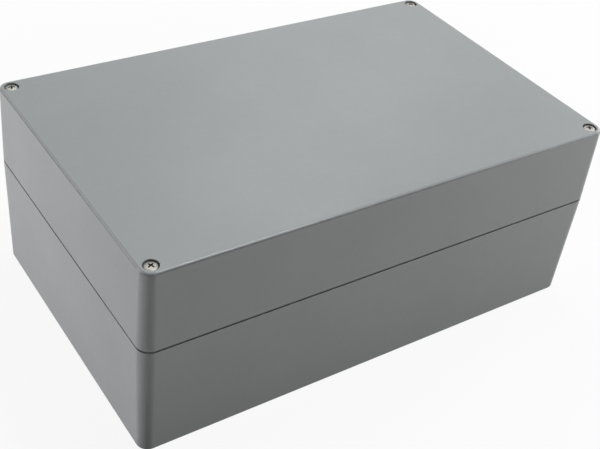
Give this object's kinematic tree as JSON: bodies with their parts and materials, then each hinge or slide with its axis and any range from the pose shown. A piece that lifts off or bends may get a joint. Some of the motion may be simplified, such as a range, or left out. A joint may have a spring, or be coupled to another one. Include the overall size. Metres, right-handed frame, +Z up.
{
  "type": "polyester enclosure",
  "caption": "Rectangular two-part polyester enclosure with drafted walls, a sealed lift-off lid on captive corner screws, and fixing holes through its base.",
  "frame": {"origin": "centre of the base's flat underside", "axes": "+X along the length, +Y along the width towards the back, +Z up towards the lid"},
  "size_m": [0.4, 0.25, 0.16],
  "materials": {
    "base_moulding": "satin",
    "lid_moulding": "satin",
    "gasket_rubber": "matte",
    "screw_steel": "bright",
    "washer_steel": "satin",
    "insert_brass": "satin"
  },
  "bodies": {
    "base": {"base": "base_moulding", "lid_insert_front_left": "insert_brass", "lid_insert_front_right": "insert_brass", "lid_insert_back_left": "insert_brass", "lid_insert_back_right": "insert_brass", "floor_insert_front_left": "insert_brass", "floor_insert_front_middle": "insert_brass", "floor_insert_front_right": "insert_brass", "floor_insert_back_left": "insert_brass", "floor_insert_back_middle": "insert_brass", "floor_insert_back_right": "insert_brass"},
    "lid": {"lid": "lid_moulding", "lid_gasket": "gasket_rubber"},
    "screw_washer_front_left": {"screw_washer_front_left": "washer_steel"},
    "lid_screw_front_left": {"lid_screw_front_left": "screw_steel"},
    "screw_washer_front_right": {"screw_washer_front_right": "washer_steel"},
    "lid_screw_front_right": {"lid_screw_front_right": "screw_steel"},
    "screw_washer_back_left": {"screw_washer_back_left": "washer_steel"},
    "lid_screw_back_left": {"lid_screw_back_left": "screw_steel"},
    "screw_washer_back_right": {"screw_washer_back_right": "washer_steel"},
    "lid_screw_back_right": {"lid_screw_back_right": "screw_steel"}
  },
  "joints": [
    {"name": "lid_lift", "type": "slide", "parent": "base", "child": "lid", "axis": [0, 0, 1], "range_m": [0, 0.2]},
    {"name": "screw_rise_front_left", "type": "slide", "parent": "lid", "child": "screw_washer_front_left", "axis": [0, 0, 1], "range_m": [0, 0.0096]},
    {"name": "screw_turn_front_left", "type": "hinge", "parent": "screw_washer_front_left", "child": "lid_screw_front_left", "pos_m": [-0.19, -0.115, 0.125], "axis": [0, 0, 1], "range_deg": [0, 4321]},
    {"name": "screw_rise_front_right", "type": "slide", "parent": "lid", "child": "screw_washer_front_right", "axis": [0, 0, 1], "range_m": [0, 0.0096]},
    {"name": "screw_turn_front_right", "type": "hinge", "parent": "screw_washer_front_right", "child": "lid_screw_front_right", "pos_m": [0.19, -0.115, 0.125], "axis": [0, 0, 1], "range_deg": [0, 4321]},
    {"name": "screw_rise_back_left", "type": "slide", "parent": "lid", "child": "screw_washer_back_left", "axis": [0, 0, 1], "range_m": [0, 0.0096]},
    {"name": "screw_turn_back_left", "type": "hinge", "parent": "screw_washer_back_left", "child": "lid_screw_back_left", "pos_m": [-0.19, 0.115, 0.125], "axis": [0, 0, 1], "range_deg": [0, 4321]},
    {"name": "screw_rise_back_right", "type": "slide", "parent": "lid", "child": "screw_washer_back_right", "axis": [0, 0, 1], "range_m": [0, 0.0096]},
    {"name": "screw_turn_back_right", "type": "hinge", "parent": "screw_washer_back_right", "child": "lid_screw_back_right", "pos_m": [0.19, 0.115, 0.125], "axis": [0, 0, 1], "range_deg": [0, 4321]}
  ],
  "couplings": [
    {"joint": "screw_turn_front_left", "follows": "screw_rise_front_left", "rad_per_m": 7854},
    {"joint": "screw_turn_front_right", "follows": "screw_rise_front_right", "rad_per_m": 7854},
    {"joint": "screw_turn_back_left", "follows": "screw_rise_back_left", "rad_per_m": 7854},
    {"joint": "screw_turn_back_right", "follows": "screw_rise_back_right", "rad_per_m": 7854}
  ]
}
